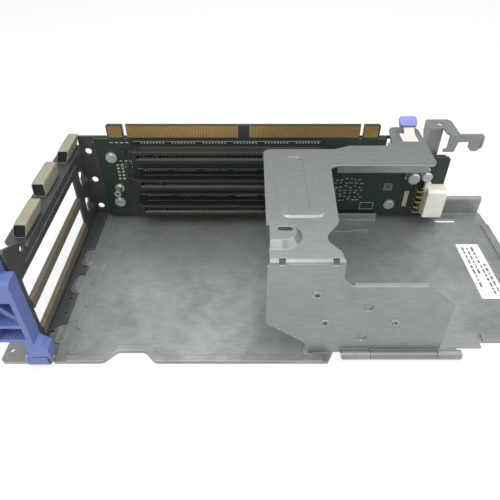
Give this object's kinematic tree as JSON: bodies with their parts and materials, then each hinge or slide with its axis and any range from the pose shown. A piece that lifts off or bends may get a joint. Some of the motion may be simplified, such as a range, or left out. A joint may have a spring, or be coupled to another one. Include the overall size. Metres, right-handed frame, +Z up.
{
  "type": "riser cage bracket",
  "caption": "Folded-sheet riser cage with an upright riser board, stacked card slots, a hinged securing plate with a sprung latch, and a hinged card retainer.",
  "frame": {"origin": "centre of the footprint, on the plane that the tray rests on", "axes": "+X along the cards, away from the I/O wall; +Y towards the riser board; +Z up from the tray"},
  "size_m": [0.3, 0.148, 0.0758],
  "materials": {
    "galvanised_sheet": "satin zinc coating",
    "circuit_board": "satin solder mask",
    "connector_plastic": "matt",
    "contact_metal": "plated",
    "plated_steel": "bright",
    "can_aluminium": "satin",
    "header_nylon": "matt",
    "chip_plastic": "matt",
    "chip_ceramic": "matt",
    "conductive_cloth": "woven",
    "spring_steel": "bright",
    "latch_plastic": "satin",
    "retainer_plastic": "satin"
  },
  "bodies": {
    "cage": {"tray": "galvanised_sheet", "rear_frame": "galvanised_sheet", "riser_board": "circuit_board", "slot_connector_1": "connector_plastic", "slot_connector_2": "connector_plastic", "slot_connector_3": "connector_plastic", "slot_contacts": "contact_metal", "board_standoffs": "plated_steel", "board_screws": "plated_steel", "guide_post": "plated_steel", "capacitors": "can_aluminium", "power_header": "header_nylon", "header_pins": "contact_metal", "board_chips": "chip_plastic", "board_passives": "chip_ceramic", "slot_gasket_upper": "conductive_cloth", "slot_gasket_lower": "conductive_cloth", "foam_gasket_front": "conductive_cloth", "foam_gasket_middle": "conductive_cloth", "foam_gasket_back": "conductive_cloth", "wall_rivets": "plated_steel", "hook_bracket": "galvanised_sheet", "hook_rivets": "plated_steel", "board_clip": "galvanised_sheet", "hinge_pin": "plated_steel", "retainer_pin": "plated_steel"},
    "plate": {"securing_plate": "galvanised_sheet"},
    "latch": {"latch_spring": "spring_steel", "latch_cap": "latch_plastic"},
    "retainer": {"card_retainer": "retainer_plastic"}
  },
  "joints": [
    {"name": "plate_hinge", "type": "hinge", "parent": "cage", "child": "plate", "pos_m": [0.0636, -0.067, 0.0029], "axis": [1, 0, 0], "range_deg": [0, 90]},
    {"name": "latch_flex", "type": "hinge", "parent": "plate", "child": "latch", "pos_m": [0.0822, 0.0397, 0.06599], "axis": [-1, 0, 0], "range_deg": [0, 7], "stiffness_Nm_per_rad": 0.9},
    {"name": "retainer_hinge", "type": "hinge", "parent": "cage", "child": "retainer", "pos_m": [-0.133, -0.0694, 0.0046], "axis": [1, 0, 0], "range_deg": [0, 90]}
  ]
}
